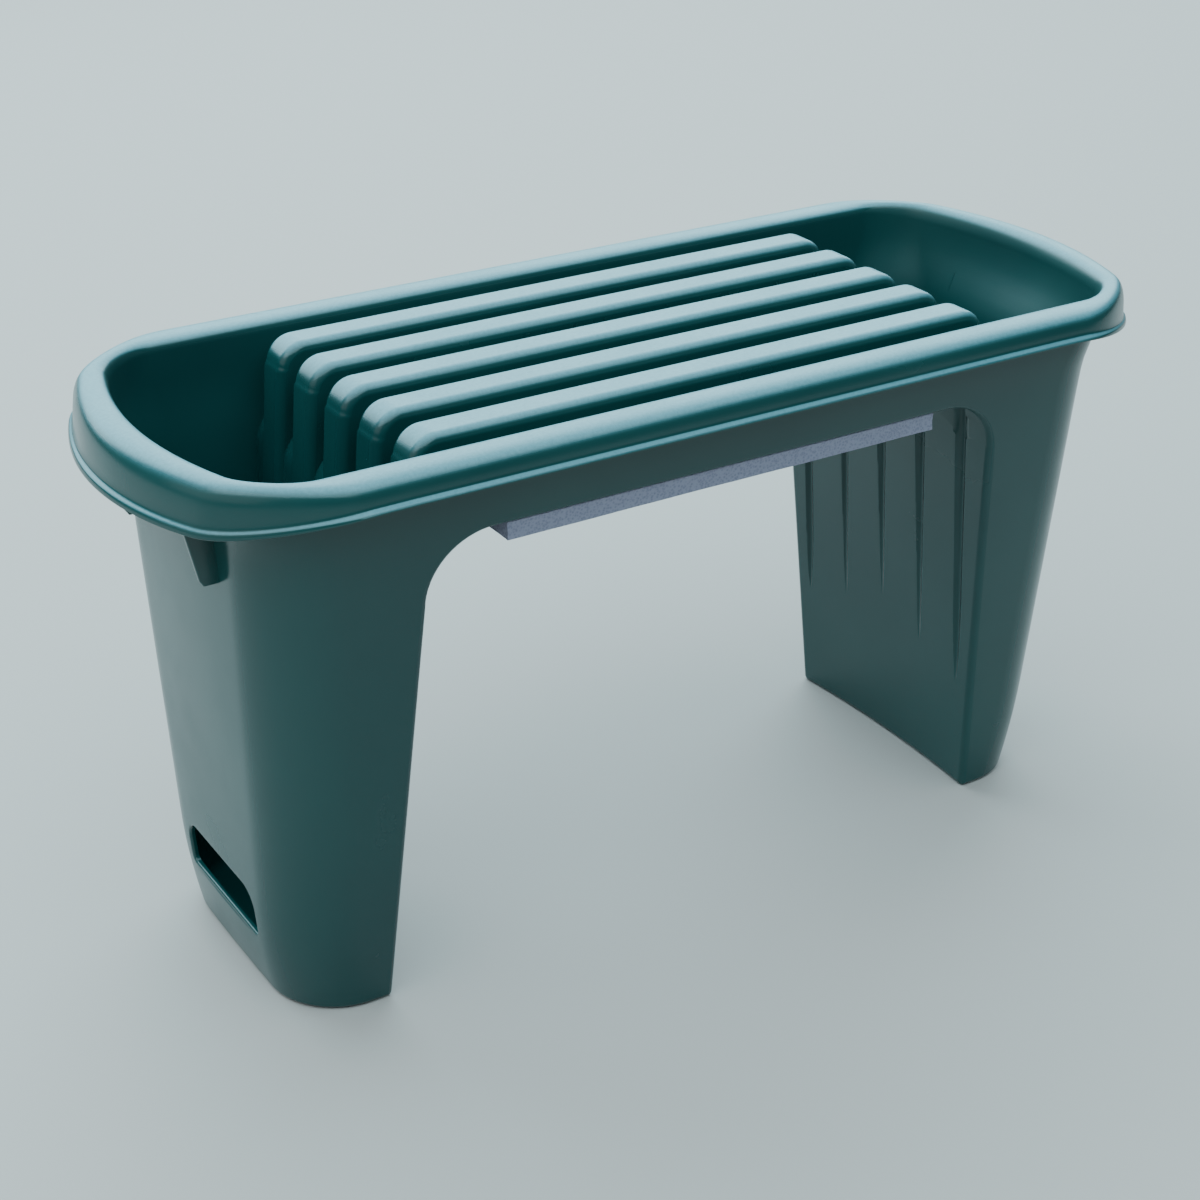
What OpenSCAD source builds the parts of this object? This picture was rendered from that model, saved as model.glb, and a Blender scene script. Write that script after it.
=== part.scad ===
// Garden kneeler seat: a moulded plastic bench with two hollow legs that hold
// tools, and a foam pad glued under the seat to kneel on when it is turned over.
// The origin is on the ground at the middle of the footprint. X runs along the
// length, Y from front to back, Z up. All sizes are in millimetres.

/* [Overall] */
// Length over the rim's lip
overall_length = 600; // [560:5:640]
// Width over the rim's lip
overall_width = 244; // [236:2:256]
// Height of the rim's crest above the ground
seat_height = 312; // [305:1:330]
// Thickness of the moulded walls
wall = 3; // [2.5:0.1:3.5]

/* [Rim] */
// Width of the rolled rim, from its inner edge to its lip
rim_width = 26; // [22:1:28]
// Height of the lip's underside along the long sides
lip_z_side = 298; // [294:1:300]
// Height of the lip's underside at the two ends
lip_z_end = 285; // [278:1:294]
// Bow of the rim's inner edge at each end
inner_bow = 20.5; // [10:0.5:26]
// Bow of the lip at each end
lip_bow = 42; // [30:1:46]
// Corner radius of the rim's inner edge
inner_corner_r = 22; // [18:1:26]
// Corner radius of the lip
lip_corner_r = 46; // [40:1:50]

/* [Legs] */
// Half length at the foot, from the middle to the end wall
foot_end_x = 246; // [240:1:252]
// Half width at the foot
foot_half_w = 79.5; // [75:0.5:84]
// Half length between the knee walls at the foot
knee_foot_x = 194; // [188:1:200]
// Half length between the knee walls under the seat
knee_top_x = 172.5; // [170:0.5:176]
// Bow of the knee wall towards the end at the foot
knee_bow = 4; // [0:0.5:8]
// How far the end wall's foot curls in
foot_curl = 5.5; // [0:0.5:8]
// How far the end wall leans out, for each millimetre of height
end_lean = 0.043; // [0.03:0.001:0.05]
// How far the end wall flares out under the rim
top_flare = 6; // [2:0.5:7]
// Corner radius of the legs at the end wall
leg_corner_r = 38; // [25:1:42]
// Corner radius of the arch between the leg and the skirt
arch_r = 36; // [25:1:45]

/* [Seat] */
// Height of the skirts' lower edges and of the seat's underside
skirt_z = 265; // [255:1:275]
// Number of ribs across the seat
rib_count = 5; // [5:1:5]
// Distance from one rib to the next
rib_pitch = 35.2; // [34:0.2:36.4]
// Width of one rib
rib_w = 22; // [18:1:24]
// How far the ribs' tops lie below the rim's crest
rib_drop = 1; // [0:0.5:3]
// Half length of the ribs at the top
rib_end_x = 175.5; // [174:0.5:180]
// How far the ribs' columns lean out on the way down to the ground
rib_lean = 23.3; // [21:0.1:24]
// Width of the hollow under each rib
rib_hollow_w = 15; // [12:0.5:16]
// Width of the groove that each rib's column leaves in the knee wall
groove_w = 11; // [9:0.5:15]
// Height at which the ribs' columns run out into the knee wall
column_foot_z = 84; // [70:2:100]
// Radius of the corner where a rib turns down into the pocket
rib_corner_r = 15; // [8:1:20]

/* [Hand slots] */
// Length of the hand slot in each end wall
slot_len = 82; // [78:2:100]
// Height of the lower edge of the slot
slot_z = 36; // [20:1:40]
// Height of the slot's opening
slot_h = 27; // [22:1:34]

/* [Kneeling pad] */
// Length of the foam pad
pad_len = 264; // [240:2:280]
// Width of the foam pad
pad_w = 190; // [170:2:192]
// Thickness of the foam pad
pad_t = 10; // [8:1:20]
// Thickness of the adhesive strips that hold it
adhesive_t = 0.6; // [0.4:0.1:1]

/* [Hidden] */

body_green = [0.10, 0.25, 0.24];
foam_grey = [0.48, 0.47, 0.55];
tape_white = [0.86, 0.85, 0.80];

half_l = overall_length / 2;
half_w = overall_width / 2;
wall_top_z = lip_z_side - 1;            // where the rim sits on the walls
top_half_w = half_w - rim_width + wall; // outer face of the long walls at the top
top_bow = 6;                            // bow of the end wall under the rim
foot_bow = 1.5;                         // and at its foot
knee_fillet = 20;                       // between the knee wall and the underside
knee_joint_z = skirt_z - knee_fillet;   // where the valleys turn down
valley_half_l = knee_x(knee_joint_z) - knee_fillet;
rib_foot_x = rib_end_x + rib_lean;
rib_top_z = seat_height - rib_drop;
rim_split = 205;                        // where the rim's sides meet its ends
gusset_y = 46;                          // webs under the rim, beside the slot
gusset_t = 3;
gusset_top_x = 278;
gusset_foot_x = 269;
ring_n = 8;                             // steps in each corner of an outline
rib_y = [for (i = [0:rib_count - 1]) (i - (rib_count - 1) / 2) * rib_pitch];

function mix(a, b, t) = a + (b - a) * t;

// Closed outline of a rounded rectangle whose two ends are bowed outwards.
function bowed(p, a, b, bow) =
    [p.x + sign(p.x) * bow * (1 - pow(p.y / b, 2)) * pow(abs(p.x) / a, 8), p.y];
function corner(cx, cy, r, start) =
    [for (k = [0:ring_n]) [cx + r * cos(start + 90 * k / ring_n),
                           cy + r * sin(start + 90 * k / ring_n)]];
function turned(list) = [for (i = [len(list) - 1:-1:0]) list[i]];
function between(p, q, n) = [for (k = [1:n - 1]) p + (q - p) * k / n];
function outline(a, b, r, bow) =
    let (
        x = a - r,
        y = b - r,
        raw = concat(
            corner(x, -y, r, -90), between([a, -y], [a, y], 12),
            corner(x, y, r, 0), [[rim_split, b]],
            between([rim_split, b], [-rim_split, b], 8), [[-rim_split, b]],
            corner(-x, y, r, 90), between([-a, y], [-a, -y], 12),
            corner(-x, -y, r, 180), [[-rim_split, -b]],
            between([-rim_split, -b], [rim_split, -b], 8), [[rim_split, -b]]))
    [for (p = raw) bowed(p, a, b, bow)];

// Joins cross-sections of equal point counts into one closed solid. A strip's
// section runs along one side and back along the other, point for point.
module sweep(sections, strip = false) {
    n = len(sections);
    m = len(sections[0]);
    end = (n - 1) * m;
    sides = [for (i = [0:n - 2], j = [0:m - 1])
        let (a = i * m + j, b = i * m + (j + 1) % m)
        each [[a, b, b + m], [a, b + m, a + m]]];
    strips = [for (j = [0:m / 2 - 2]) let (a = j, b = j + 1, c = m - 2 - j, d = m - 1 - j)
        each [[c, b, a], [d, c, a], [end + a, end + b, end + c], [end + a, end + c, end + d]]];
    flats = [[for (j = [m - 1:-1:0]) j], [for (j = [0:m - 1]) end + j]];
    polyhedron(points = [for (s = sections) each s],
        faces = concat(sides, strip ? strips : flats), convexity = 8);
}

// ---- walls -------------------------------------------------------------

// Half width of the walls' outer face at height z, and half length of the end
// wall's: straight in the middle, curled in at the foot and flared at the top.
function side_y(z) = mix(foot_half_w, top_half_w, z / wall_top_z);
function end_x(z) = foot_end_x + foot_curl + end_lean * z
    - foot_curl * pow(1 - min(1, z / 60), 2)
    + top_flare * pow(max(0, z - 250) / (wall_top_z - 250), 2);
function end_bow(z) = mix(foot_bow, top_bow, z / wall_top_z);
function knee_x(z) = mix(knee_foot_x, knee_top_x, z / skirt_z);
function knee_face_x(y, z) = knee_x(z)
    + knee_bow * max(0, 1 - z / knee_joint_z) * (1 - pow(y / side_y(z), 2));
function arch_x(z) = z < skirt_z - arch_r ? knee_x(z)
    : knee_x(skirt_z - arch_r) - arch_r
      + sqrt(max(0, pow(arch_r, 2) - pow(min(z, skirt_z) - skirt_z + arch_r, 2)));

// One level of a leg's C-shaped wall: from the front knee edge at x0, round the
// end, to the back knee edge. inset moves the outline in by the wall thickness.
function leg_level(z, inset, x0) =
    let (
        bow = end_bow(z),
        a = end_x(z) - bow - inset,
        b = side_y(z) - inset,
        r = leg_corner_r - inset,
        x1 = a - r,
        front = [for (k = [0:3]) [mix(x0, x1, k / 4), -b]],
        arc_f = [for (p = corner(x1, -(b - r), r, -90)) bowed(p, a, b, bow)],
        end = [for (p = between([a, -(b - r)], [a, b - r], 12)) bowed(p, a, b, bow)],
        arc_b = [for (p = corner(x1, b - r, r, 0)) bowed(p, a, b, bow)],
        back = [for (k = [3:-1:0]) [mix(x0, x1, k / 4), b]])
    [for (p = concat(front, arc_f, end, arc_b, back)) [p.x, p.y, z]];

leg_levels = concat([0, 15, 30, 60, 120, 180, skirt_z - arch_r],
    [for (k = [1:6]) skirt_z - arch_r + arch_r * sin(15 * k)], [skirt_z + 16, wall_top_z]);

// The slot's upper corners are round and its lower corners are square.
module hand_slot() {
    r = slot_h * 0.45;
    x = slot_len / 2 - r;
    z = slot_h - r;
    translate([0, 0, slot_z])
        rotate([90, 0, 90])
            linear_extrude(half_l)
                polygon(concat([[-x - r, 0], [x + r, 0]], arc2(x, z, r, 0, 90, 8),
                    arc2(-x, z, r, 90, 180, 8)));
}

module leg_wall() {
    difference() {
        sweep([for (k = [len(leg_levels) - 1:-1:0]) let (z = leg_levels[k], x0 = arch_x(z))
            concat(leg_level(z, 0, x0), turned(leg_level(z, wall, x0)))], strip = true);
        hand_slot();
    }
}

// The wall beside the kneeling space. The ribs' hollow columns are let into it.
module knee_wall() {
    y_steps = 12;
    difference() {
        sweep([for (z = [knee_joint_z, column_foot_z, 0])
            let (b = side_y(z) - wall,
                 face = [for (k = [0:y_steps]) let (y = (2 * k / y_steps - 1) * b)
                     [knee_face_x(y, z), y, z]])
            concat([for (p = face) p + [wall, 0, 0]], turned(face))], strip = true);
        for (y = rib_y)
            translate([0, y, 0]) upright(rib_w)
                polygon([[100, column_foot_z], [column_x(column_foot_z), column_foot_z],
                         [column_x(rib_top_z), rib_top_z], [100, rib_top_z]]);
    }
}

// Closes the pocket between the knee wall and the C-shaped wall.
module pocket_floor() {
    b = side_y(0) - wall;
    round = leg_level(0, wall, knee_face_x(b, 0) + wall);
    knee = [for (k = [1:11]) let (y = b * (1 - k / 6)) [knee_face_x(y, 0) + wall, y]];
    linear_extrude(wall)
        polygon(concat([for (p = round) [p.x, p.y]], knee));
}

module skirt() {
    rotate([90, 0, 90])
        translate([0, 0, -arch_x(skirt_z)])
            linear_extrude(2 * arch_x(skirt_z))
                polygon([[-side_y(skirt_z), skirt_z], [-side_y(skirt_z) + wall, skirt_z],
                         [-side_y(wall_top_z) + wall, wall_top_z],
                         [-side_y(wall_top_z), wall_top_z]]);
}

// ---- rim ---------------------------------------------------------------

// Height of the lip's underside beside the point p.
function lip_z(p) =
    let (t = min(1, max(0, (abs(p.x) - rim_split) / (half_l - rim_split))),
         s = t * t * (3 - 2 * t))
    mix(lip_z_side, lip_z_end, s);

// The rim's section: across runs from 0 at the inner edge to 1 at the lip, and
// up from 0 at the lip's underside to 1 at the crest.
rim_skin = [[0.01, 0.62], [0.05, 0.83], [0.13, 0.95], [0.26, 1.0], [0.42, 1.0],
    [0.58, 0.95], [0.71, 0.85], [0.80, 0.70], [0.85, 0.50], [0.88, 0.16], [1.0, 0.12],
    [1.0, 0.0]];
// The underside, from the lip back to the wall, with its drop below the skin.
rim_under = [[0.80, 0.0, 0], [0.77, 0.40, 0.4], [0.70, 0.70, 2.4], [0.58, 0.95, 3],
    [0.42, 1.0, 3], [0.28, 1.0, 3], [0.17, 0.80, 1.5]];

rim_inner = outline(half_l - rim_width - inner_bow, half_w - rim_width, inner_corner_r,
    inner_bow);
rim_lip = outline(half_l - lip_bow, half_w, lip_corner_r, lip_bow);
rim_seat = outline(end_x(wall_top_z) - top_bow, top_half_w, leg_corner_r, top_bow);
rim_seat_in = outline(end_x(wall_top_z) - top_bow - wall, top_half_w - wall,
    leg_corner_r - wall, top_bow);

// The rim's closed section at step i of its outline.
function skin_point(i, s, drop) =
    let (p = mix(rim_inner[i], rim_lip[i], s[0]))
    [p.x, p.y, mix(lip_z(rim_lip[i]), seat_height, s[1]) - drop];
function rim_section(i) = concat(
    [[rim_seat_in[i].x, rim_seat_in[i].y, wall_top_z]],
    [for (s = rim_skin) skin_point(i, s, 0)],
    [for (s = rim_under) skin_point(i, s, s[2])],
    [[rim_seat[i].x, rim_seat[i].y, wall_top_z]]);

// A stretch of the rim, from one step of its outline to another.
module rim(first, last) {
    n = len(rim_inner);
    color(body_green) sweep([for (i = [first:last]) rim_section(i % n)]);
}

// Two webs that stiffen the rim where it overhangs the end wall.
module gussets() {
    levels = [245, 258, 271, 284, wall_top_z];
    function face_x(y, z) = end_x(z) - end_bow(z) * pow(y / side_y(z), 2);
    function section(y) = concat(
        [for (z = levels) [face_x(y, z), y, z]],
        [[gusset_top_x, y, wall_top_z], [gusset_top_x, y, 284], [gusset_foot_x, y, 245]]);
    for (y = [-gusset_y, gusset_y])
        sweep([section(y - gusset_t / 2), section(y + gusset_t / 2)]);
}

// ---- seat --------------------------------------------------------------

// The face of a rib's column on the pocket side, at height z.
function column_x(z) = mix(rib_foot_x, rib_end_x, z / rib_top_z);
function arc2(cx, cz, r, a0, a1, n) =
    [for (k = [0:n]) [cx + r * cos(mix(a0, a1, k / n)), cz + r * sin(mix(a0, a1, k / n))]];
function flip(points) = [for (i = [len(points) - 1:-1:0]) [-points[i].x, points[i].y]];

// Half of the outline of a rib's top, from the height z0 up. inset leaves the wall.
function rib_profile(inset, z0) =
    let (x = rib_end_x - inset, z = rib_top_z - inset, r = rib_corner_r - inset)
    concat([[column_x(z0) - inset, z0]], arc2(x - r, z - r, r, 0, 90, 8));
// The underside's profile where the seat turns down into the knee wall.
function under_arc(r) = arc2(valley_half_l, knee_joint_z, r, 0, 90, 8);

module upright(w) {
    translate([0, w / 2, 0]) rotate([90, 0, 0]) linear_extrude(w) children();
}

// The space between the front and back walls, from z0 to z1.
module between_walls(z0, z1) {
    low = side_y(z0) - wall;
    high = side_y(z1) - wall;
    rotate([90, 0, 90]) translate([0, 0, -half_l]) linear_extrude(2 * half_l)
        polygon([[-low, z0], [low, z0], [high, z1], [-high, z1]]);
}

module seat_rib(i) {
    outer = rib_profile(0, skirt_z);
    inner = rib_profile(wall, skirt_z - 1);
    color(body_green) translate([0, rib_y[i], 0]) difference() {
        upright(rib_w) polygon(concat(outer, flip(outer)));
        upright(rib_hollow_w) polygon(concat(inner, flip(inner)));
    }
}

// The ribs' columns of the right leg, from the underside down to the knee wall.
module rib_columns() {
    z = column_foot_z;
    inside = column_x(z) - wall;
    intersection() {
        for (y = rib_y) translate([0, y, 0]) difference() {
            upright(rib_w) polygon(concat([[column_x(z), z], [column_x(skirt_z), skirt_z]],
                turned(under_arc(knee_fillet)), [[knee_face_x(y, z), z]]));
            upright(groove_w) polygon([[100, z - 1], [inside, z - 1], [inside, z],
                [column_x(skirt_z) - wall, skirt_z], [100, skirt_z + 1]]);
        }
        between_walls(0, seat_height);
    }
}

// Edges of the strip of seat between two ribs, or beside the last one.
function valley_low(i) = i == 0 ? -half_w : rib_y[i - 1] + rib_w / 2;
function valley_high(i) = i == rib_count ? half_w : rib_y[i] - rib_w / 2;
module valley_strip(i) {
    translate([0, (valley_low(i) + valley_high(i)) / 2, 0])
        upright(valley_high(i) - valley_low(i)) children();
}

module seat_valley(i) {
    color(body_green) intersection() {
        valley_strip(i) translate([-valley_half_l, skirt_z]) square([2 * valley_half_l, wall]);
        between_walls(knee_joint_z, seat_height);
    }
}

// Where the valleys turn down into the right leg's knee wall.
module seat_bend() {
    for (i = [0:rib_count])
        intersection() {
            valley_strip(i)
                polygon(concat(under_arc(knee_fillet + wall), turned(under_arc(knee_fillet))));
            between_walls(knee_joint_z, seat_height);
        }
}

// ---- pad ---------------------------------------------------------------

module kneeling_pad() {
    color(foam_grey)
        translate([-pad_len / 2, -pad_w / 2, skirt_z - adhesive_t - pad_t])
            cube([pad_len, pad_w, pad_t]);
}

module pad_adhesive() {
    strip_w = rib_pitch - rib_w - 2;
    color(tape_white)
        for (i = [0:rib_count - 2])
            translate([-pad_len / 2 + 8, (rib_y[i] + rib_y[i + 1] - strip_w) / 2,
                       skirt_z - adhesive_t])
                cube([pad_len - 16, strip_w, adhesive_t]);
}

module rim_right() { rim(75, 105); }
module rim_back() { rim(29, 37); }
module rim_left() { rim(37, 67); }
module rim_front() { rim(67, 75); }
module front_skirt() { color(body_green) skirt(); }
module back_skirt() { color(body_green) rotate([0, 0, 180]) skirt(); }
module right_leg_wall() { color(body_green) leg_wall(); }
module left_leg_wall() { color(body_green) rotate([0, 0, 180]) leg_wall(); }
module right_knee_wall() { color(body_green) knee_wall(); }
module left_knee_wall() { color(body_green) rotate([0, 0, 180]) knee_wall(); }
module right_pocket_floor() { color(body_green) pocket_floor(); }
module left_pocket_floor() { color(body_green) rotate([0, 0, 180]) pocket_floor(); }
module right_seat_bend() { color(body_green) seat_bend(); }
module left_seat_bend() { color(body_green) rotate([0, 0, 180]) seat_bend(); }
module right_rib_columns() { color(body_green) rib_columns(); }
module left_rib_columns() { color(body_green) rotate([0, 0, 180]) rib_columns(); }
module right_rim_gussets() { color(body_green) gussets(); }
module left_rim_gussets() { color(body_green) rotate([0, 0, 180]) gussets(); }

rim_front();
rim_back();
rim_left();
rim_right();
front_skirt();
back_skirt();
left_leg_wall();
right_leg_wall();
left_knee_wall();
right_knee_wall();
left_pocket_floor();
right_pocket_floor();
seat_rib(0);  // seat_rib_1
seat_rib(1);  // seat_rib_2
seat_rib(2);  // seat_rib_3
seat_rib(3);  // seat_rib_4
seat_rib(4);  // seat_rib_5
seat_valley(0);  // seat_valley_1
seat_valley(1);  // seat_valley_2
seat_valley(2);  // seat_valley_3
seat_valley(3);  // seat_valley_4
seat_valley(4);  // seat_valley_5
seat_valley(5);  // seat_valley_6
left_seat_bend();
right_seat_bend();
left_rib_columns();
right_rib_columns();
left_rim_gussets();
right_rim_gussets();
kneeling_pad();
pad_adhesive();
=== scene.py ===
"""Looks of the garden kneeler seat: one moulded body, cut from smooth lofts, and a foam pad.
Shapes are in millimetres, and mesh() turns them into metres. The materials, the lights and
the camera are in metres."""

import math
import bmesh
import bpy
import numpy as np
from mathutils import Matrix, Vector


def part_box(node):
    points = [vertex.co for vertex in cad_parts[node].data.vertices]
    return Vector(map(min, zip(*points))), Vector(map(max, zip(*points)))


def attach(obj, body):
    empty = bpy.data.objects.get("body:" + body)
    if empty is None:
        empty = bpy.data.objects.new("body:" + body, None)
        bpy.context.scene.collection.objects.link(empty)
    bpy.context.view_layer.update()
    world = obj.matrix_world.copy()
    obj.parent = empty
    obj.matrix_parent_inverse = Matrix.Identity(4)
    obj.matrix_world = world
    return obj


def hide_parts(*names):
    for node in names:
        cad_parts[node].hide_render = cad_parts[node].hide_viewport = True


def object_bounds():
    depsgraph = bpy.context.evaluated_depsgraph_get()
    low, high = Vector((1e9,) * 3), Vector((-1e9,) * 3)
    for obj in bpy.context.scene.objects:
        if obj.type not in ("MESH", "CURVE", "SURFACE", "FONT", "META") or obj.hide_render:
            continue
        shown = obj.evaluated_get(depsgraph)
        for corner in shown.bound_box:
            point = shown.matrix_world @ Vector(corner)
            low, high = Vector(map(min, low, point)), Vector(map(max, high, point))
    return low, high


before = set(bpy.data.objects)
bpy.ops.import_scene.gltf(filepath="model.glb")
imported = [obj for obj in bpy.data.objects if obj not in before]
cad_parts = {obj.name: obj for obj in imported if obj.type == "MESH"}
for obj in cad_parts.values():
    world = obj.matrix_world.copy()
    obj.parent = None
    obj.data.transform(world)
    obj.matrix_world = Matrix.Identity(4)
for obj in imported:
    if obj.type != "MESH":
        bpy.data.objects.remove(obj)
cad_low, cad_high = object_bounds()

# ---------------------------------------------------------------- sizes
MM = 0.001


def box_mm(node):
    """The lowest and highest corners of a CAD node."""
    low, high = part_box(node)
    return low / MM, high / MM


_, knee_high = box_mm("right_knee_wall")
_, floor_high = box_mm("right_pocket_floor")
end_rim_low, _ = box_mm("rim_right")
skirt_low, skirt_high = box_mm("front_skirt")
rib_low, rib_high = box_mm("seat_rib_3")
next_rib_low, _ = box_mm("seat_rib_4")
pad_low, pad_high = box_mm("kneeling_pad")
gusset_low, gusset_high = box_mm("right_rim_gussets")

HALF_L = cad_high.x / MM
HALF_W = cad_high.y / MM
CREST_Z = cad_high.z / MM                # the top of the rim
WALL = floor_high.z                      # thickness of the moulding
WALL_TOP_Z = skirt_high.z                # where the rim begins
SKIRT_Z = skirt_low.z                    # underside of the seat

# The rim
RIM_W = 26.0
INNER_CORNER_R, INNER_BOW = 22.0, 20.5   # of its inner edge
LIP_CORNER_R, LIP_BOW = 46.0, 42.0       # of its outer edge
RIM_DROP_X = 205.0                       # the lip starts to drop here, towards the ends
LIP_Z_SIDE = WALL_TOP_Z + 1.0
LIP_Z_END = end_rim_low.z

# The end walls and long walls
FOOT_END_X = floor_high.x + WALL
FOOT_HALF_W = floor_high.y + WALL
TOP_HALF_W = HALF_W - RIM_W + WALL
CORNER_R = 38.0
END_LEAN = 0.043                         # the end walls lean out going up
FOOT_CURL, FOOT_CURL_H = 5.5, 60.0       # they curl in towards the floor
TOP_FLARE, TOP_FLARE_Z = 3.0, 250.0      # and flare out towards the rim
FOOT_BOW, TOP_BOW = 1.5, 6.0             # and bow outwards across their width
INNER_BLEND_Z, OUTER_BLEND_Z = 256.0, 266.0    # above these the walls' faces widen to the rim
BLEND_END_Z = WALL_TOP_Z + 2
FOOT_EDGE_R = 3.0                        # the round edge that the bench stands on
POCKET_EDGE_R = 6.0                      # the fillet round the pocket's floor

# The knee walls
KNEE_TOP_X, KNEE_FOOT_X = 172.5, 194.0
KNEE_BOW = 4.0
KNEE_JOINT_Z = knee_high.z               # where the knee wall turns into the seat
KNEE_FILLET = SKIRT_Z - KNEE_JOINT_Z
ARCH_R = 36.0
ARCH_Z = SKIRT_Z - ARCH_R

# The ribs
RIB_TOP_Z = rib_high.z
RIB_W = rib_high.y - rib_low.y
RIB_PITCH = next_rib_low.y - rib_low.y
RIB_Y = [(i - 2) * RIB_PITCH for i in range(5)]
RIB_END_X = 175.5
RIB_SPREAD = 23.3                        # how much further out their columns would be at the floor
RIB_LEAN = RIB_SPREAD / RIB_TOP_Z
RIB_CORNER_R = 15.0
RIB_EDGE_R = 5.2
GROOVE_END_Z, GROOVE_RISE, GROOVE_TAPER = 5.0, 0.35, 80.0    # where the grooves run out

# The hand slots and the gussets
SLOT_L, SLOT_Z, SLOT_H = 82.0, 36.0, 27.0      # length, height above the floor, and height
GUSSET_T = 3.0


def mix(a, b, t):
    return a + (b - a) * t


def smooth(t):
    """A smooth step from 0 to 1."""
    t = np.clip(t, 0.0, 1.0)
    return t * t * (3 - 2 * t)


def side_y(z):
    """The outer face of the long walls."""
    return mix(FOOT_HALF_W, TOP_HALF_W, z / WALL_TOP_Z)


def end_x(z):
    """The outer face of an end wall, at the middle of its width."""
    curl = FOOT_CURL * (1 - min(1.0, max(z, 0.0) / FOOT_CURL_H)) ** 2
    flare = TOP_FLARE * (max(0.0, z - TOP_FLARE_Z) / (WALL_TOP_Z - TOP_FLARE_Z)) ** 2
    return FOOT_END_X + FOOT_CURL + END_LEAN * z - curl + flare


def end_bow(z):
    """How far that middle stands out from the wall's edges."""
    return mix(FOOT_BOW, TOP_BOW, z / WALL_TOP_Z)


def to_rim(z, start=OUTER_BLEND_Z):
    """How far a wall's face has gone over into the rim's inner edge: from 0 up to 1."""
    return float(smooth((z - start) / (BLEND_END_Z - start)))


def end_face_x(y, z):
    """The outer face of an end wall, anywhere across its width."""
    wall = end_x(z) - end_bow(z) * (y / side_y(z)) ** 2
    rim = HALF_L - RIM_W + WALL - INNER_BOW * (y / TOP_HALF_W) ** 2
    return mix(wall, rim, to_rim(z))


def knee_x(z):
    """The face of a knee wall at its edges."""
    return mix(KNEE_FOOT_X, KNEE_TOP_X, z / SKIRT_Z)


FILLET_X = knee_x(KNEE_JOINT_Z) - KNEE_FILLET    # the middles of the fillet and of the arch
ARCH_X = knee_x(ARCH_Z) - ARCH_R


def knee_bow(y, z):
    """How far that face bows outwards between its edges: most at the floor, and none at its top."""
    lower = max(0.0, 1 - max(z, 0.0) / KNEE_JOINT_Z)
    return KNEE_BOW * lower * (1 - min(1.0, (y / side_y(z)) ** 2))


def column_x(z):
    """The outer face of the ribs' columns."""
    return RIB_END_X + RIB_LEAN * (RIB_TOP_Z - z)


def rim_end(x):
    """0 along the rim's long sides, rising to 1 at its ends."""
    return smooth((abs(x) - RIM_DROP_X) / (HALF_L - RIM_DROP_X))


def lip_z(x):
    """The underside of the rim's lip."""
    return mix(LIP_Z_SIDE, LIP_Z_END, rim_end(x))


# ---------------------------------------------------------------- mesh helpers
def mesh(name, points, faces):
    """A new object from points in millimetres."""
    data = bpy.data.meshes.new(name)
    data.from_pydata([tuple(c * MM for c in p) for p in points], [], faces)
    data.validate()
    obj = bpy.data.objects.new(name, data)
    bpy.context.scene.collection.objects.link(obj)
    return obj


def loft(name, rings):
    """A closed solid through rings of equal point counts, with its normals outwards."""
    n, m = len(rings), len(rings[0])
    points = [tuple(p) for ring in rings for p in ring]
    faces = [
        (i * m + j, i * m + (j + 1) % m, (i + 1) * m + (j + 1) % m, (i + 1) * m + j)
        for i in range(n - 1)
        for j in range(m)
    ]
    faces += [tuple(range(m - 1, -1, -1)), tuple(range((n - 1) * m, n * m))]
    obj = mesh(name, points, faces)
    bm = bmesh.new()
    bm.from_mesh(obj.data)
    bmesh.ops.recalc_face_normals(bm, faces=bm.faces)
    if bm.calc_volume(signed=True) < 0:
        bmesh.ops.reverse_faces(bm, faces=bm.faces)
    bm.to_mesh(obj.data)
    bm.free()
    return obj


def boolean(target, others, operation):
    """Joins the other solids to the target, or cuts them out of it."""
    for other in others:
        modifier = target.modifiers.new("cut", "BOOLEAN")
        modifier.object = other
        modifier.operation = operation
        modifier.solver = "MANIFOLD"
        bpy.context.view_layer.objects.active = target
        bpy.ops.object.modifier_apply(modifier=modifier.name)
        bpy.data.objects.remove(other)


def quarter(n):
    """The sines and cosines of n + 1 angles from 0 to 90 degrees."""
    angles = [math.radians(90 * k / n) for k in range(n + 1)]
    return [(math.sin(a), math.cos(a)) for a in angles]


def arc(cx, cy, r, start, end, n):
    """n + 1 points round a centre, between two angles in degrees."""
    angles = [math.radians(mix(start, end, k / n)) for k in range(n + 1)]
    return [(cx + r * math.cos(a), cy + r * math.sin(a)) for a in angles]


def outline(a, b, r, bow):
    """Points round a rounded rectangle whose two ends are bowed outwards."""
    corner_n, edge_n = 18, 24
    fade = 8                             # the higher, the nearer to the ends the bow starts
    x, y = a - r, b - r
    points = arc(x, -y, r, -90, 0, corner_n)
    points += [(a, mix(-y, y, k / edge_n)) for k in range(1, edge_n)]
    points += arc(x, y, r, 0, 90, corner_n)
    points += [(mix(x, -x, k / edge_n), b) for k in range(1, edge_n)]
    points += arc(-x, y, r, 90, 180, corner_n)
    points += [(-a, mix(y, -y, k / edge_n)) for k in range(1, edge_n)]
    points += arc(-x, -y, r, 180, 270, corner_n)
    points += [(mix(-x, x, k / edge_n), -b) for k in range(1, edge_n)]
    p = np.array(points)
    p[:, 0] += np.sign(p[:, 0]) * bow * (1 - (p[:, 1] / b) ** 2) * (np.abs(p[:, 0]) / a) ** fade
    return p


def there_and_back(points):
    """The points, then their mirror images across the bench's middle, in reverse."""
    return points + [(-x, y, z) for x, y, z in reversed(points)]


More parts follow.
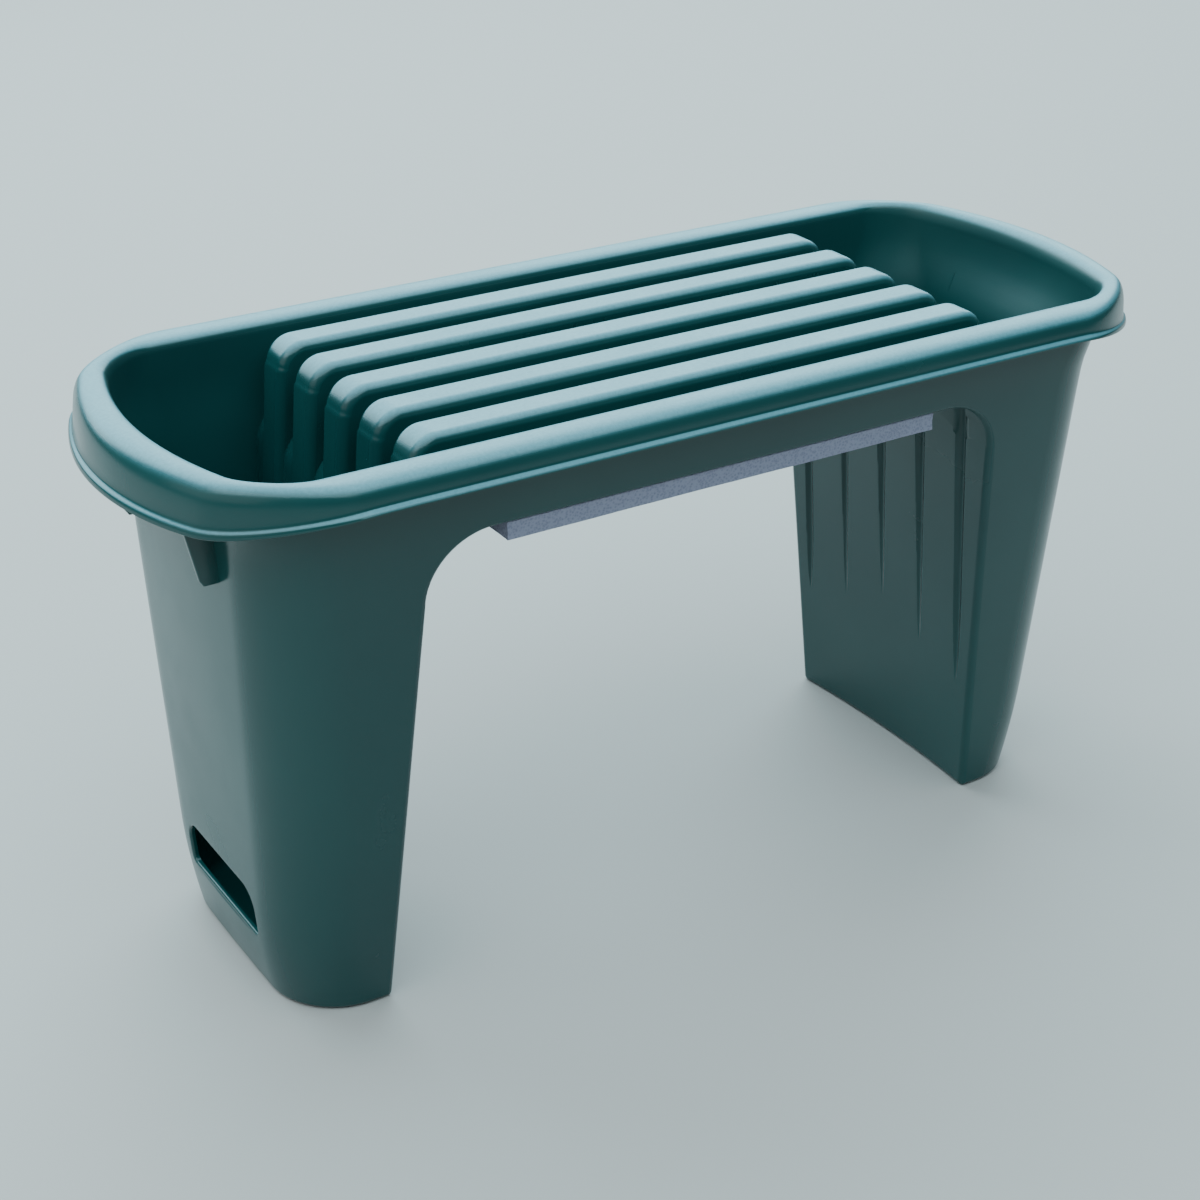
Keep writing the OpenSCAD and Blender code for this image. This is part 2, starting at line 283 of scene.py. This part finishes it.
def through(points):
    """A Catmull-Rom curve through the points."""
    steps = 4
    p = [np.array(q) for q in points]
    p = [2 * p[0] - p[1]] + p + [2 * p[-1] - p[-2]]
    out = []
    for i in range(1, len(p) - 2):
        for k in range(steps):
            t = k / steps
            out.append(0.5 * (2 * p[i] + (p[i + 1] - p[i - 1]) * t
                              + (2 * p[i - 1] - 5 * p[i] + 4 * p[i + 1] - p[i + 2]) * t ** 2
                              + (3 * p[i] - p[i - 1] - 3 * p[i + 1] + p[i + 2]) * t ** 3))
    return out + [p[-2]]


# ---------------------------------------------------------------- the rim and the walls
# The rim's section: from 0 at its inner edge to 1 at the lip, and from 0 at the lip's
# underside to 1 at the crest. On the long sides the rim is flat-topped, and at the ends
# it is rounder. The third number of RIM_UNDER lowers that point, in millimetres.
RIM_SIDE = [(0.01, 0.58), (0.02, 0.72), (0.06, 0.86), (0.13, 0.94), (0.25, 0.99), (0.40, 1.0),
            (0.55, 0.985), (0.68, 0.925), (0.775, 0.82), (0.835, 0.66), (0.865, 0.46), (0.88, 0.25)]
RIM_END = [(0.01, 0.58), (0.02, 0.72), (0.06, 0.86), (0.13, 0.945), (0.24, 0.99), (0.37, 1.0),
           (0.52, 0.983), (0.645, 0.93), (0.74, 0.83), (0.808, 0.685), (0.85, 0.485), (0.877, 0.26)]
RIM_LIP = [(0.89, 0.2), (0.905, 0.17), (0.935, 0.15), (0.965, 0.135), (0.985, 0.105),
           (1.0, 0.06), (0.995, 0.015), (0.97, 0.0), (0.86, 0.0), (0.82, 0.03)]
RIM_UNDER = [(0.80, 0.2, 0.0), (0.77, 0.45, 0.4), (0.70, 0.72, 2.2), (0.58, 0.95, 3.0),
             (0.42, 1.0, 3.0), (0.28, 1.0, 3.0), (0.18, 0.82, 1.5)]


def rim_inner(grow=0.0):
    """The rim's inner edge, or an outline that far outside it."""
    a, b = HALF_L - RIM_W - INNER_BOW + grow, HALF_W - RIM_W + grow
    return outline(a, b, INNER_CORNER_R + 2 * grow, INNER_BOW)


def wall_ring(z, inset, blend_z=OUTER_BLEND_Z):
    """A level of the walls. Above blend_z they run over into the rim's inner edge."""
    bow = end_bow(z)
    wall = outline(end_x(z) - bow - inset, side_y(z) - inset, CORNER_R - inset, bow)
    return [(x, y, z) for x, y in mix(wall, rim_inner(WALL - inset), to_rim(z, blend_z))]


def tub():
    """The walls, the rim and the floor as one closed surface, before the knee space is cut."""
    level_n, edge_n = 46, 6
    inner = rim_inner()
    lip = outline(HALF_L - LIP_BOW, HALF_W, LIP_CORNER_R, LIP_BOW)
    ends = rim_end(lip[:, 0])

    def rim_ring(s, t, drop=0.0):
        """One point of the rim's section, taken all the way round."""
        return [(x, y, mix(lip_z(lip_x), CREST_Z, t) - drop)
                for (x, y), (lip_x, _) in zip(mix(inner, lip, s), lip)]

    def crest_ring(side, end):
        """The same for the outside, which goes over from the sides' section to the ends'."""
        s, t = mix(side[0], end[0], ends), mix(side[1], end[1], ends)
        return [(x, y, mix(lip_z(lip_x), CREST_Z, k))
                for (x, y), (lip_x, _), k in zip(mix(inner, lip, s[:, None]), lip, t)]

    foot = [(FOOT_EDGE_R * (1 - c), FOOT_EDGE_R * (1 - s)) for s, c in quarter(edge_n)]
    fillet = [(WALL + POCKET_EDGE_R * (1 - s), WALL + POCKET_EDGE_R * (1 - c))
              for s, c in quarter(edge_n)[1:]]
    rings = [wall_ring(z, inset) for z, inset in foot]
    rings += [wall_ring(z, 0.0) for z in np.linspace(FOOT_EDGE_R, WALL_TOP_Z, level_n)[1:]]
    rings += [rim_ring(s, t, drop) for s, t, drop in reversed(RIM_UNDER)]
    rings += [rim_ring(s, t) for s, t in reversed(RIM_LIP)]
    crest = list(zip(through(RIM_SIDE), through(RIM_END)))
    rings += [crest_ring(side, end) for side, end in reversed(crest)]
    rings += [wall_ring(z, WALL, INNER_BLEND_Z)
              for z in np.linspace(WALL_TOP_Z, WALL + POCKET_EDGE_R, level_n)]
    rings += [wall_ring(z, inset, INNER_BLEND_Z) for z, inset in fillet]
    return loft("body", rings)


# ---------------------------------------------------------------- the seat between the pockets
def seat_block():
    """The knee walls and the seat's valleys, still solid. It ends inside the long walls."""
    foot_z = 1.0                         # inside the floor's thickness
    across_n, level_n, arc_n = 25, 12, 12
    rings = []
    for s in np.linspace(-1, 1, across_n):
        half = []
        for z in np.linspace(foot_z, KNEE_JOINT_Z, level_n):
            y = s * (side_y(z) - WALL / 2)
            half.append((knee_x(z) + knee_bow(y, z) + WALL, y, z))
        for x, z in arc(FILLET_X, KNEE_JOINT_Z, KNEE_FILLET + WALL, 0, 90, arc_n)[1:]:
            half.append((x, s * (side_y(z) - WALL / 2), z))
        rings.append(there_and_back(half))
    return loft("seat_block", rings)


def rib(y0):
    """A rib with its two columns, solid down to the knee walls."""
    foot_z = 60.0
    edge_n, level_n, arc_n = 6, 8, 12
    front_edge = [(-1, s, c) for s, c in quarter(edge_n)]
    back_edge = [(1, s, c) for s, c in reversed(quarter(edge_n))]
    rings = []
    for sign, s, c in front_edge + back_edge:
        inset = RIB_EDGE_R * (1 - s)
        y = y0 + sign * (RIB_W / 2 - RIB_EDGE_R * (1 - c))
        top = RIB_TOP_Z - inset
        r = RIB_CORNER_R - inset
        half = [(column_x(z) - inset, y, z) for z in np.linspace(foot_z, top - r, level_n)]
        half += [(x, y, z) for x, z in arc(RIB_END_X - inset - r, top - r, r, 0, 90, arc_n)[1:]]
        rings.append(there_and_back(half))
    return loft("rib", rings)


def knee_section():
    """Half of the knee space's section: up the knee wall, round the arch and along the seat.
    Each point has the way that the edge there is rounded, and the edge's radius."""
    knee_r, skirt_r = 4.2, 1.6
    foot_spread = 0.7                    # of the foot's round edge: 1 would be a full round
    lean = 0.07                          # about the knee wall's own
    middle_x = 60.0
    arch_n = 16
    below_arch = [-8, -0.01, 0.5, 1, 2, 3, 12, 40, 80, 120, 160, 200, ARCH_Z - 8]
    section = []
    for z in below_arch:
        above = min(max(z, 0.0), FOOT_EDGE_R)
        out = FOOT_EDGE_R - math.sqrt(FOOT_EDGE_R ** 2 - (FOOT_EDGE_R - above) ** 2)
        section.append((knee_x(z) + out * foot_spread, z, 1.0, lean, knee_r))
    arch = arc(ARCH_X, ARCH_Z, ARCH_R, 0, 90, arch_n)
    for k, ((x, z), (sine, cosine)) in enumerate(zip(arch, quarter(arch_n))):
        section.append((x, z, cosine, sine, mix(knee_r, skirt_r, smooth(k / arch_n))))
    return section + [(middle_x, SKIRT_Z, 0.0, 1.0, skirt_r)]


def knee_space():
    """The space between the legs, with a rounded edge where it meets the long walls."""
    half = knee_section()
    section = half + [(-x, z, -nx, nz, r) for x, z, nx, nz, r in reversed(half)]
    angles = (80, 68, 56, 44, 32, 20, 8, 0)    # round the edge, from the wall's outer face inwards
    clear, past = 12.0, 0.06             # outside the wall, where it ends and where it stops widening
    middle, middle_n = 0.9, 19           # the part of the width with plain sections, and how many
    stations = [(clear, angles[0]), (past, angles[0])] + [(0.0, angle) for angle in angles]

    def bowed(x, y, z):
        return x + math.copysign(knee_bow(y, z), x), y, z

    def edge_ring(side, beyond, angle):
        """The section at that angle round the edge, or that far outside the wall."""
        a = math.radians(angle)
        ring = []
        for x, z, nx, nz, r in section:
            push, depth = r * (1 - math.cos(a)), r * (1 - math.sin(a))
            if beyond:
                push += (depth + past) * math.tan(a)
                depth = -beyond
            x, z = x + nx * push, z + nz * push
            ring.append(bowed(x, side * (side_y(z) - depth), z))
        return ring

    rings = [edge_ring(-1, *station) for station in stations]
    for s in np.linspace(-middle, middle, middle_n):
        rings.append([bowed(x, s * (side_y(z) - r), z) for x, z, _, _, r in section])
    rings += [edge_ring(1, *station) for station in reversed(stations)]
    return loft("knee_space", rings)


def arch_corner(side):
    """Between the arch in the long walls and the tighter fillet under the seat."""
    inner_x, outer_x, low_z = 130.0, 170.0, ARCH_Z - 3    # these lie inside the knee space
    gap = 0.3                            # to the long walls' inner faces
    arc_n = 12
    points = [(knee_x(ARCH_Z), ARCH_Z)]
    points += arc(FILLET_X, KNEE_JOINT_Z, KNEE_FILLET, 0, 90, arc_n)
    points += [(ARCH_X, SKIRT_Z), (inner_x, SKIRT_Z - 1), (inner_x, low_z), (outer_x, low_z)]
    rings = [[(side * x, s * (side_y(z) - WALL - gap), z) for x, z in points] for s in (-1, 1)]
    return loft("arch_corner", rings)


def column_hollow(y0, side):
    """The groove that a rib's column leaves in the knee wall. It runs out to a point."""
    low_z, high_z, level_n = 50.0, 300.0, 60
    straight_n, round_n = 10, 9
    point_half_w, full_half_w = 1.0, 5.0
    point_gap = 1.5                      # below the point, the cut stays this far off the wall
    round_depth = 9.0                    # the groove's bottom is round over this depth
    lip, lip_spread, lip_most = 1.6, 2.0, 2.2      # its edges open out from this depth in the wall
    lip_fade = 6.0                       # and do so less and less over this depth above its bottom
    clear = 5.0                          # the cut starts this far outside the wall
    under_seat_x, under_seat_z = 135.0, KNEE_JOINT_Z - 10    # or here, above this height
    least_round, least_straight = 0.6, 1.0
    rings = []
    for z in np.linspace(low_z, high_z, level_n):
        in_wall = z < KNEE_JOINT_Z
        face = knee_x(z) + knee_bow(y0, z) if in_wall else knee_x(KNEE_JOINT_Z)
        taper = float(smooth((z - GROOVE_END_Z - GROOVE_RISE * abs(y0)) / GROOVE_TAPER))
        half_w = mix(point_half_w, full_half_w, taper)
        back = mix(face - point_gap, column_x(z) - WALL, taper)
        start = min(face, back) - clear if z < under_seat_z else under_seat_x
        edge = max(min(face + lip, back - least_round), start + least_straight)
        xs = list(np.linspace(start, edge, straight_n))
        xs += [edge + (back - edge) * s for s, _ in quarter(round_n)[1:]]
        half = []
        for x in xs:
            t = min(1.0, max(0.0, (back - x) / round_depth))
            h = half_w * math.sqrt(1 - (1 - t) ** 2)
            if in_wall:
                opening = max(0.0, min(lip_most, (face + lip - x) / lip))
                h += lip_spread * opening ** 2 * min(1.0, (back - x) / lip_fade)
            half.append((x, h))
        ring = [(side * x, y0 + h, z) for x, h in half]
        ring += [(side * x, y0 - h, z) for x, h in reversed(half[:-1])]
        rings.append(ring)
    return loft("column_hollow", rings)


def seat_hollow(y0):
    """The hollow under a rib's top."""
    half_w, round_depth, half_l = 7.5, 8.0, 164.0
    open_z = 255.0                       # below the seat's underside
    top = RIB_TOP_Z - WALL
    half = [(half_w, open_z)] + [(half_w * c, top - round_depth * (1 - s)) for s, c in quarter(9)]
    section = half + [(-y, z) for y, z in reversed(half[:-1])]
    return loft("seat_hollow", [[(x, y0 + y, z) for y, z in section] for x in (-half_l, half_l)])


# ---------------------------------------------------------------- the end walls' details
def hand_slot(side):
    """The slot's upper corners are round and its lower corners nearly square. Its edge is soft."""
    edge_r = 1.6
    upper_r, lower_r = SLOT_H * 0.45, 3.0
    upper_n, lower_n = 12, 5
    mouth = edge_r * 1.6                 # how much wider the cut is outside the wall
    outside, inside = 8.0, 9.0           # how far it goes beyond the wall's two faces
    clear = 0.1                          # how far outside the wall it stops widening

    def ring(depth, grow):
        r_top, r_low = upper_r + grow, lower_r + grow
        x, z0, z1 = SLOT_L / 2 + grow, SLOT_Z - grow, SLOT_Z + SLOT_H + grow
        half = arc(x - r_low, z0 + r_low, r_low, -90, 0, lower_n)
        half += arc(x - r_top, z1 - r_top, r_top, 0, 90, upper_n)
        whole = half + [(-y, z) for y, z in reversed(half)]
        return [(side * (end_face_x(y, z) - depth), y, z) for y, z in whole]

    rings = [ring(-outside, mouth), ring(-clear, mouth)]
    for angle in (78, 64, 50, 36, 22, 8, 0):
        a = math.radians(angle)
        rings.append(ring(edge_r * (1 - math.sin(a)), edge_r * (1 - math.cos(a))))
    rings.append(ring(WALL + inside, 0.0))
    return loft("hand_slot", rings)


def gusset(side, y0):
    """A web under the rim where it overhangs the end wall."""
    sunk = 1.5                           # into the wall
    top_z = WALL_TOP_Z + 3               # inside the rim
    slope_top_z, slope_foot_x = 284.0, 269.0     # its outer edge slopes in below this height
    edge_r = 0.8
    level_n = 8
    t = GUSSET_T / 2
    front_edge = [(-t, edge_r), (-t + 0.25, 0.25), (-t + edge_r, 0)]
    across = front_edge + [(-y, inset) for y, inset in reversed(front_edge)]
    rings = []
    for y, inset in across:
        x, foot_x, foot_z = gusset_high.x - inset, slope_foot_x - inset, gusset_low.z + inset
        points = [(end_face_x(y0, z) - sunk, z) for z in np.linspace(foot_z, top_z, level_n)]
        points += [(x, top_z), (x, slope_top_z), (foot_x + 1, foot_z + 3), (foot_x - 1, foot_z)]
        rings.append([(side * x, y0 + y, z) for x, z in points])
    return loft("gusset", rings)


def moulded_body():
    """The tub with what lies between its pockets, and then the cuts and the gussets."""
    sides = (-1, 1)
    gusset_y = gusset_high.y - GUSSET_T / 2
    body = tub()
    boolean(body, [seat_block()], "UNION")
    boolean(body, [rib(y) for y in RIB_Y], "UNION")
    boolean(body, [knee_space()] + [arch_corner(side) for side in sides], "DIFFERENCE")
    boolean(body, [column_hollow(y, side) for y in RIB_Y for side in sides], "DIFFERENCE")
    boolean(body, [seat_hollow(y) for y in RIB_Y], "DIFFERENCE")
    boolean(body, [hand_slot(side) for side in sides], "DIFFERENCE")
    boolean(body, [gusset(side, s * gusset_y) for side in sides for s in sides], "UNION")
    return body


def finish_normals(obj, sharp_angle):
    """Smooth shading, except at edges that turn by more than that many degrees."""
    obj.data.shade_smooth()
    obj.data.set_sharp_from_angle(angle=math.radians(sharp_angle))
    weighted = obj.modifiers.new("weighted", "WEIGHTED_NORMAL")
    weighted.keep_sharp = True
    weighted.weight = 80


# ---------------------------------------------------------------- the pad
def foam_pad():
    """A slab of foam with knife-cut sides that draw in and waver a little."""
    low, high = pad_low, pad_high
    nx, ny, nz = 88, 64, 5
    mean_inset = 0.3
    hollow = 0.3                         # how far the sides draw in at half height
    thick = high.z - low.z
    # Points round a unit square, each with the way out of it.
    square = [(k / nx, 0.0, 0, -1) for k in range(nx)]
    square += [(1.0, k / ny, 1, 0) for k in range(ny)]
    square += [(1 - k / nx, 1.0, 0, 1) for k in range(nx)]
    square += [(0.0, 1 - k / ny, -1, 0) for k in range(ny)]

    def ring(z, inset):
        out = []
        for t, (u, v, ax, ay) in enumerate(square):
            x = mix(low.x + inset, high.x - inset, u)
            y = mix(low.y + inset, high.y - inset, v)
            wave = 0.2 * math.sin(0.11 * t + 0.8) + 0.08 * math.sin(0.43 * t + 0.4 * z)
            out.append((x - ax * (mean_inset - wave), y - ay * (mean_inset - wave), z))
        return out

    levels = [(low.z, 0.5), (low.z + 0.15, 0.2), (low.z + 0.5, 0.05)]
    levels += [(low.z + thick * k / nz, hollow * math.sin(math.pi * k / nz)) for k in range(1, nz)]
    levels += [(high.z - 0.4, 0.05), (high.z, 0.35)]
    return loft("foam_pad", [ring(z, inset) for z, inset in levels])


# ---------------------------------------------------------------- material helpers
MIX_A, MIX_B, MIX_RESULT = 6, 7, 2       # the colour sockets of a Mix node


def material(name):
    mat = bpy.data.materials.new(name)
    mat.use_nodes = True
    tree = mat.node_tree
    return mat, tree, tree.nodes["Principled BSDF"]


def node(tree, kind, **inputs):
    """A new node with some inputs set. An underscore in a name stands for a space."""
    made = tree.nodes.new(kind)
    for name, value in inputs.items():
        made.inputs[name.replace("_", " ")].default_value = value
    return made


def link(tree, a, b):
    tree.links.new(a, b)


def axes(tree, source):
    """A vector's X, Y and Z."""
    made = node(tree, "ShaderNodeSeparateXYZ")
    link(tree, source, made.inputs["Vector"])
    return made.outputs


def texture(tree, kind, **inputs):
    """A texture that is fixed to the object."""
    coords = node(tree, "ShaderNodeTexCoord")
    made = node(tree, kind, **inputs)
    link(tree, coords.outputs["Object"], made.inputs["Vector"])
    return made.outputs


def noise(tree, scale, detail, rough=0.5):
    return texture(tree, "ShaderNodeTexNoise", Scale=scale, Detail=detail, Roughness=rough)["Fac"]


def ramp(tree, source, stops):
    """Two colours, or two greys, and where they lie on the source's scale."""
    made = node(tree, "ShaderNodeValToRGB")
    for element, (position, colour) in zip(made.color_ramp.elements, stops):
        element.position = position
        element.color = (*colour, 1) if isinstance(colour, tuple) else (colour, colour, colour, 1)
    link(tree, source, made.inputs["Fac"])
    return made.outputs["Color"]


def step(tree, source, start, end):
    """A smooth step from 0 at start to 1 at end."""
    made = node(tree, "ShaderNodeMapRange", From_Min=start, From_Max=end)
    made.interpolation_type = "SMOOTHSTEP"
    link(tree, source, made.inputs["Value"])
    return made.outputs["Result"]


def maths(tree, operation, a, b):
    made = node(tree, "ShaderNodeMath")
    made.operation = operation
    link(tree, a, made.inputs[0])
    link(tree, b, made.inputs[1])
    return made.outputs["Value"]


def choose(tree, mask, a, b):
    """a where the mask is 0, and b where it is 1."""
    made = node(tree, "ShaderNodeMix")
    made.data_type = "RGBA"
    link(tree, mask, made.inputs["Factor"])
    link(tree, a, made.inputs[MIX_A])
    link(tree, b, made.inputs[MIX_B])
    return made.outputs[MIX_RESULT]


def bump(tree, height, strength, distance):
    made = node(tree, "ShaderNodeBump", Strength=strength, Distance=distance)
    link(tree, height, made.inputs["Height"])
    return made


# ---------------------------------------------------------------- materials
def plastic_masks(tree):
    """The worn surfaces, which are the tops of the rim and the ribs and also carry a painted sky
    highlight, and the matt surfaces, which are those and the upper part of the walls' insides."""
    coords = node(tree, "ShaderNodeTexCoord").outputs
    height = axes(tree, coords["Object"])["Z"]
    # this height step is low enough to take in the rim's lip, so the lip also gets the painted highlight
    high_up = step(tree, height, 0.280, 0.286)
    facing_up = step(tree, axes(tree, coords["Normal"])["Z"], 0.40, 0.93)
    wear_and_sheen = maths(tree, "MULTIPLY", high_up, facing_up)

    outward = node(tree, "ShaderNodeVectorMath")
    outward.operation = "DOT_PRODUCT"
    link(tree, coords["Object"], outward.inputs[0])
    link(tree, coords["Normal"], outward.inputs[1])
    facing_in = step(tree, outward.outputs["Value"], -0.01, -0.05)
    inside = maths(tree, "MULTIPLY", facing_in, step(tree, height, 0.19, 0.25))
    return wear_and_sheen, maths(tree, "MAXIMUM", wear_and_sheen, inside)


def plastic():
    """Glossy walls, and tops that are worn, rougher, a little dusty and painted lighter as a painted sky
    highlight.
    """
    mat, tree, shader = material("green_polypropylene")
    wear_and_sheen, matt = plastic_masks(tree)

    broad = noise(tree, scale=7.0, detail=3.0)
    wall_tint = ramp(tree, broad, [(0.3, (0.003, 0.042, 0.042)), (0.7, (0.005, 0.054, 0.052))])
    dust = noise(tree, scale=520.0, detail=6.0, rough=0.7)
    # the up-facing tops' lighter colour: partly dust, partly a painted sky highlight
    dust_and_sheen_tint = ramp(tree, dust, [(0.35, (0.058, 0.175, 0.206)), (0.75, (0.095, 0.240, 0.280))])
    link(tree, choose(tree, wear_and_sheen, wall_tint, dust_and_sheen_tint), shader.inputs["Base Color"])

    scuffs = noise(tree, scale=22.0, detail=5.0, rough=0.6)
    wall_gloss = ramp(tree, scuffs, [(0.3, 0.17), (0.7, 0.28)])
    matt_gloss = ramp(tree, scuffs, [(0.3, 0.35), (0.7, 0.42)])
    link(tree, choose(tree, matt, wall_gloss, matt_gloss), shader.inputs["Roughness"])

    grain = bump(tree, noise(tree, scale=900.0, detail=2.0), strength=0.15, distance=0.0002)
    waves = bump(tree, noise(tree, scale=12.0, detail=1.0), strength=0.2, distance=0.002)
    link(tree, grain.outputs["Normal"], waves.inputs["Normal"])
    link(tree, waves.outputs["Normal"], shader.inputs["Normal"])
    shader.inputs["IOR"].default_value = 1.5
    return mat


def foam():
    """Closed cells, which show as fine pale walls round darker middles."""
    mat, tree, shader = material("lavender_foam")
    cells = texture(tree, "ShaderNodeTexVoronoi", Scale=700.0)["Distance"]
    tint = ramp(tree, cells, [(0.0, (0.19, 0.185, 0.26)), (0.6, (0.30, 0.295, 0.395))])
    link(tree, tint, shader.inputs["Base Color"])
    pits = bump(tree, cells, strength=0.5, distance=0.0004)
    link(tree, pits.outputs["Normal"], shader.inputs["Normal"])
    shader.inputs["Roughness"].default_value = 0.85
    return mat


def film():
    """The adhesive strips' pale film."""
    mat, tree, shader = material("adhesive_film")
    spots = noise(tree, scale=300.0, detail=2.0)
    tint = ramp(tree, spots, [(0.3, (0.60, 0.59, 0.53)), (0.7, (0.70, 0.69, 0.64))])
    link(tree, tint, shader.inputs["Base Color"])
    shader.inputs["Roughness"].default_value = 0.6
    return mat


# ---------------------------------------------------------------- the pieces
BODY_NODES = [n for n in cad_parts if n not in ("kneeling_pad", "pad_adhesive")]

body = moulded_body()
finish_normals(body, 32)
body.data.materials.clear()
body.data.materials.append(plastic())
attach(body, "root")
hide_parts(*BODY_NODES)

pad = foam_pad()
finish_normals(pad, 40)
pad.data.materials.append(foam())
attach(pad, "root")
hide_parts("kneeling_pad")

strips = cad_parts["pad_adhesive"]
strips.data.materials.clear()
strips.data.materials.append(film())

# ---------------------------------------------------------------- the stage
FLOOR_HALF = 6000
FLOOR_COLOUR = (0.42, 0.355, 0.335, 1)
WORLD_COLOUR, WORLD_STRENGTH = (0.80, 0.92, 1.0, 1), 0.14
SKY = (0.60, 0.91, 1.0)
WARM = (1.0, 0.98, 0.95)
CAMERA_AT = (-0.6046, -0.9095, 0.7095)
CAMERA_YAW, CAMERA_PITCH, CAMERA_ROLL = 0.573, 0.477, 0.012
CAMERA_LENS, CAMERA_SENSOR = 65.57, 36


def floor_plane():
    h = FLOOR_HALF
    plane = mesh("floor", [(-h, -h, 0), (h, -h, 0), (h, h, 0), (-h, h, 0)], [(0, 1, 2, 3)])
    mat, _, shader = material("pale_floor")
    shader.inputs["Base Color"].default_value = FLOOR_COLOUR
    shader.inputs["Roughness"].default_value = 0.7
    plane.data.materials.append(mat)
    return plane


def area_light(name, at, towards, size, power, colour):
    data = bpy.data.lights.new(name, "AREA")
    data.shape = "RECTANGLE"
    data.size, data.size_y = size
    data.energy = power
    data.color = colour
    obj = bpy.data.objects.new(name, data)
    obj.location = at
    obj.rotation_mode = "QUATERNION"
    obj.rotation_quaternion = (Vector(towards) - Vector(at)).to_track_quat("-Z", "Y")
    bpy.context.scene.collection.objects.link(obj)


def world_light():
    world = bpy.data.worlds.new("world")
    bpy.context.scene.world = world
    world.use_nodes = True
    background = world.node_tree.nodes["Background"]
    background.inputs["Color"].default_value = WORLD_COLOUR
    background.inputs["Strength"].default_value = WORLD_STRENGTH


def camera():
    """The camera stands left of the bench's front and looks down at it."""
    yaw, pitch, roll = CAMERA_YAW, CAMERA_PITCH, CAMERA_ROLL
    ahead = math.cos(pitch)
    forward = Vector((math.sin(yaw) * ahead, math.cos(yaw) * ahead, -math.sin(pitch)))
    level = Vector((math.cos(yaw), -math.sin(yaw), 0))
    upward = level.cross(forward)
    right = math.cos(roll) * level + math.sin(roll) * upward
    up = right.cross(forward)
    data = bpy.data.cameras.new("camera")
    data.sensor_width = CAMERA_SENSOR
    data.lens = CAMERA_LENS
    data.clip_end = 50
    obj = bpy.data.objects.new("camera", data)
    rotation = Matrix((right, up, -forward)).transposed()
    obj.matrix_world = Matrix.Translation(CAMERA_AT) @ rotation.to_4x4()
    bpy.context.scene.collection.objects.link(obj)
    bpy.context.scene.camera = obj


floor = floor_plane()
world_light()
area_light("sky_behind", at=(0.7, 2.6, 2.1), towards=(0, 0, 0.3), size=(7.0, 3.0), power=370, colour=SKY)
area_light("sky_over", at=(-0.5, -0.5, 2.7), towards=(0, 0, 0.3), size=(5.0, 4.4), power=240, colour=SKY)
area_light("key_left", at=(-2.2, -0.2, 1.3), towards=(0, 0, 0.2), size=(3.0, 2.0), power=13, colour=WARM)
camera()
